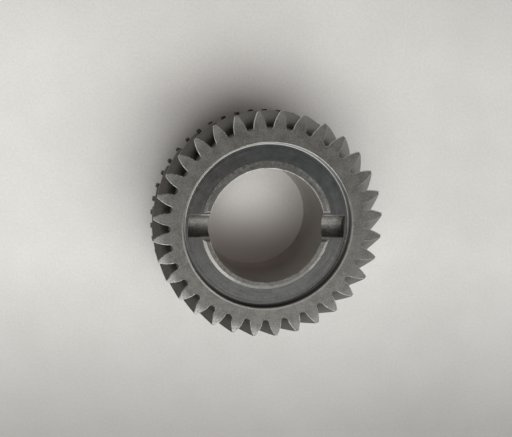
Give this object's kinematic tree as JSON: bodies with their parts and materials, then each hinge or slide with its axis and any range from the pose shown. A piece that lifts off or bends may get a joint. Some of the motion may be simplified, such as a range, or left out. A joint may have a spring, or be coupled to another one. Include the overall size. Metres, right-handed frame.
{
  "type": "helical synchroniser gear",
  "caption": "Right-hand helical gear wheel with a recessed face, two oil slots, a plain bearing bore, and a clutch ring with dog teeth and a synchroniser cone on its hub.",
  "frame": {"origin": "on the bore axis, at the end face of the hub on which the gear stands", "axes": "+Z along the bore axis towards the recessed toothed face, X through the two oil slots"},
  "size_m": [0.0956, 0.0956, 0.033],
  "materials": {
    "gear_steel": "machined and case hardened, matte on the rim face, smoother on the turned recess floor and in the bore",
    "clutch_steel": "machined, ground on the cone",
    "weld_metal": "rippled weld bead"
  },
  "bodies": {
    "root": {"helical_gear": "gear_steel", "clutch_body": "clutch_steel", "weld_bead": "weld_metal"}
  },
  "joints": []
}
